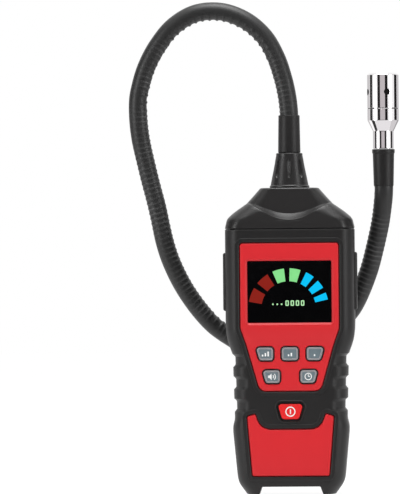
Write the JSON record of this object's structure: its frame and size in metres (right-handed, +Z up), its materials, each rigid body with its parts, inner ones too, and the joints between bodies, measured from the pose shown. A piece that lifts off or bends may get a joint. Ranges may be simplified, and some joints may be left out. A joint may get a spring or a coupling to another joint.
{
  "type": "gas leak detector",
  "caption": "Handheld gas leak detector with a screened front panel, a ribbed grip and a semi-rigid gooseneck that ends in a metal sensor head.",
  "frame": {"origin": "on the surface that the feet stand on, under the centre of the whole instrument's box", "axes": "+Z up, from the feet to the top of the gooseneck's arch; +Y from the display towards the battery door; +X to the right when facing the display"},
  "size_m": [0.155, 0.0532, 0.2826],
  "materials": {
    "black_elastomer": "fine moulded grain, matt",
    "neck_sheath": "satin sheath drawn over a wound core",
    "black_abs": "fine moulded grain, matt",
    "red_abs": "satin moulded",
    "grey_silicone": "satin, printed",
    "red_silicone": "satin, printed",
    "smoked_acrylic": "polished",
    "display_glass": "polished",
    "black_foam": "matt",
    "board_laminate": "solder resist",
    "white_nylon": "satin",
    "cell_can": "printed wrap, plain",
    "plated_steel": "zinc plated",
    "chrome_plate": "polished"
  },
  "bodies": {
    "case": {"front_armour": "black_elastomer", "front_case": "red_abs", "rear_case": "black_abs", "top_cap": "black_elastomer", "display_window": "smoked_acrylic", "window_gasket": "black_foam", "display_module": "display_glass", "display_bracket": "black_abs", "main_board": "board_laminate", "buzzer": "black_abs", "lead_connector": "white_nylon", "sensor_lead": "black_elastomer", "switch_high": "black_abs", "switch_middle": "black_abs", "switch_low": "black_abs", "switch_sound": "black_abs", "switch_timer": "black_abs", "switch_power": "black_abs", "cell_1": "cell_can", "cell_2": "cell_can", "cell_3": "cell_can", "cell_spring_1": "plated_steel", "cell_spring_2": "plated_steel", "cell_spring_3": "plated_steel", "cell_contact_low": "plated_steel", "cell_contact_high": "plated_steel", "case_screw_upper_left": "plated_steel", "case_screw_upper_right": "plated_steel", "case_screw_lower_left": "plated_steel", "case_screw_lower_right": "plated_steel", "neck_collar": "black_elastomer", "neck_ferrule": "plated_steel", "neck_nut": "plated_steel", "neck_boot": "black_elastomer", "gooseneck": "neck_sheath", "head_boot": "black_elastomer", "sensor_base": "chrome_plate", "sensor_cap": "chrome_plate", "gas_sensor": "plated_steel"},
    "key_high": {"key_high": "grey_silicone"},
    "key_middle": {"key_middle": "grey_silicone"},
    "key_low": {"key_low": "grey_silicone"},
    "key_sound": {"key_sound": "grey_silicone"},
    "key_timer": {"key_timer": "grey_silicone"},
    "key_power": {"key_power": "red_silicone"},
    "battery_door": {"battery_door": "black_abs"}
  },
  "joints": [
    {"name": "key_high_press", "type": "slide", "parent": "case", "child": "key_high", "axis": [0, 1, 0], "range_m": [0, 0.001], "stiffness_N_per_m": 1200},
    {"name": "key_middle_press", "type": "slide", "parent": "case", "child": "key_middle", "axis": [0, 1, 0], "range_m": [0, 0.001], "stiffness_N_per_m": 1200},
    {"name": "key_low_press", "type": "slide", "parent": "case", "child": "key_low", "axis": [0, 1, 0], "range_m": [0, 0.001], "stiffness_N_per_m": 1200},
    {"name": "key_sound_press", "type": "slide", "parent": "case", "child": "key_sound", "axis": [0, 1, 0], "range_m": [0, 0.001], "stiffness_N_per_m": 1200},
    {"name": "key_timer_press", "type": "slide", "parent": "case", "child": "key_timer", "axis": [0, 1, 0], "range_m": [0, 0.001], "stiffness_N_per_m": 1200},
    {"name": "key_power_press", "type": "slide", "parent": "case", "child": "key_power", "axis": [0, 1, 0], "range_m": [0, 0.001], "stiffness_N_per_m": 1200},
    {"name": "battery_door_slide", "type": "slide", "parent": "case", "child": "battery_door", "axis": [0, 0, -1], "range_m": [0, 0.055]}
  ]
}
